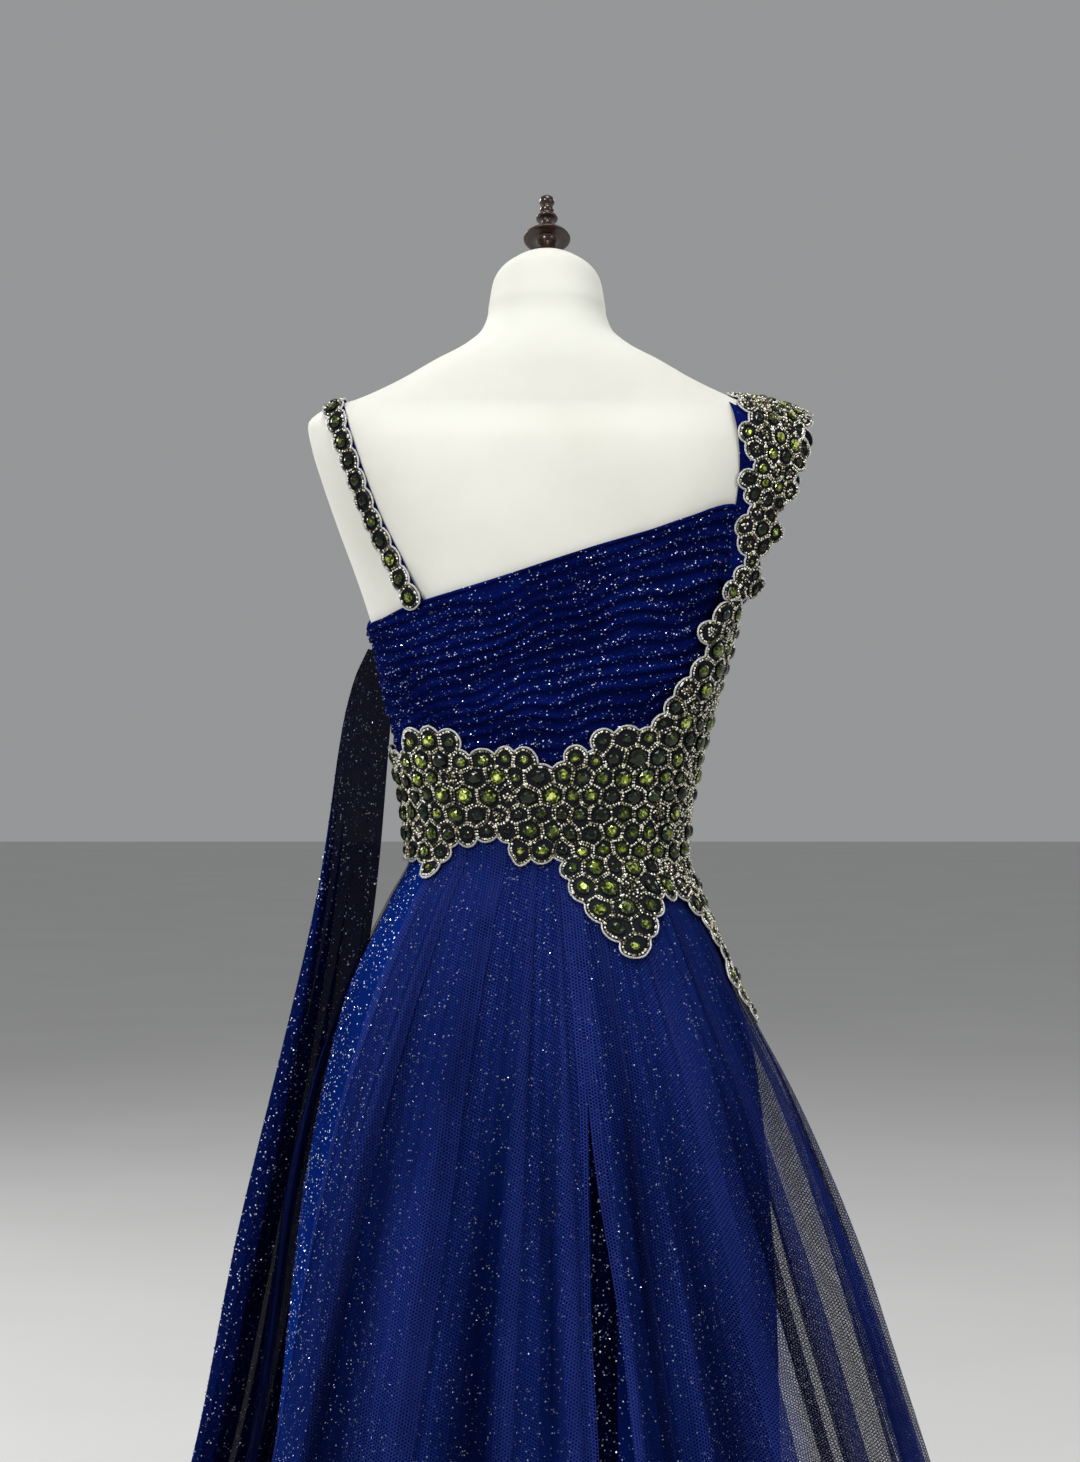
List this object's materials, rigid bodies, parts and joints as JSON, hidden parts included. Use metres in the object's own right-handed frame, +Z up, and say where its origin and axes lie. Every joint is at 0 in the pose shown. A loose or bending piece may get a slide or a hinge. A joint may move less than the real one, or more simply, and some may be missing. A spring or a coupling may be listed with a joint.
{
  "type": "evening dress on a dress form",
  "caption": "Floor-length evening dress: pleated tulle bodice, jewelled straps and waist, satin skirt, net overskirt and side drape, on a dress form.",
  "frame": {"origin": "centre of the stand's flat underside, on the floor", "axes": "+Z up; +Y is the gown's front, so its back is at -Y; +X is the wearer's right, where the wide beaded strap is"},
  "size_m": [0.935, 0.916, 1.5806],
  "materials": {
    "jersey": "smooth cream stretch jersey over a padded shell",
    "dark_wood": "turned wood, dark stain, gloss varnish",
    "pleated_tulle": "navy glitter tulle in fine slanting pleats",
    "satin": "royal blue satin flat-lined with glitter tulle",
    "net": "fine royal blue net and glitter tulle",
    "beadwork": "round olive crystals in a web of silver seed beads"
  },
  "bodies": {
    "root": {"form_torso": "jersey", "form_finial": "dark_wood", "stand_pole": "dark_wood", "stand_base": "dark_wood", "bodice_back": "pleated_tulle", "bodice_front": "pleated_tulle", "satin_back_left": "satin", "satin_back_right": "satin", "satin_front": "satin", "slit_insert": "net", "net_overskirt_back": "net", "net_overskirt_right": "net", "net_overskirt_front": "net", "net_overskirt_left": "net", "side_drape": "net", "beaded_waist_back": "beadwork", "beaded_waist_front": "beadwork", "beaded_side": "beadwork", "beaded_strap_back": "beadwork", "beaded_strap_front": "beadwork", "crystal_strap_back": "beadwork", "crystal_strap_front": "beadwork"}
  },
  "joints": []
}
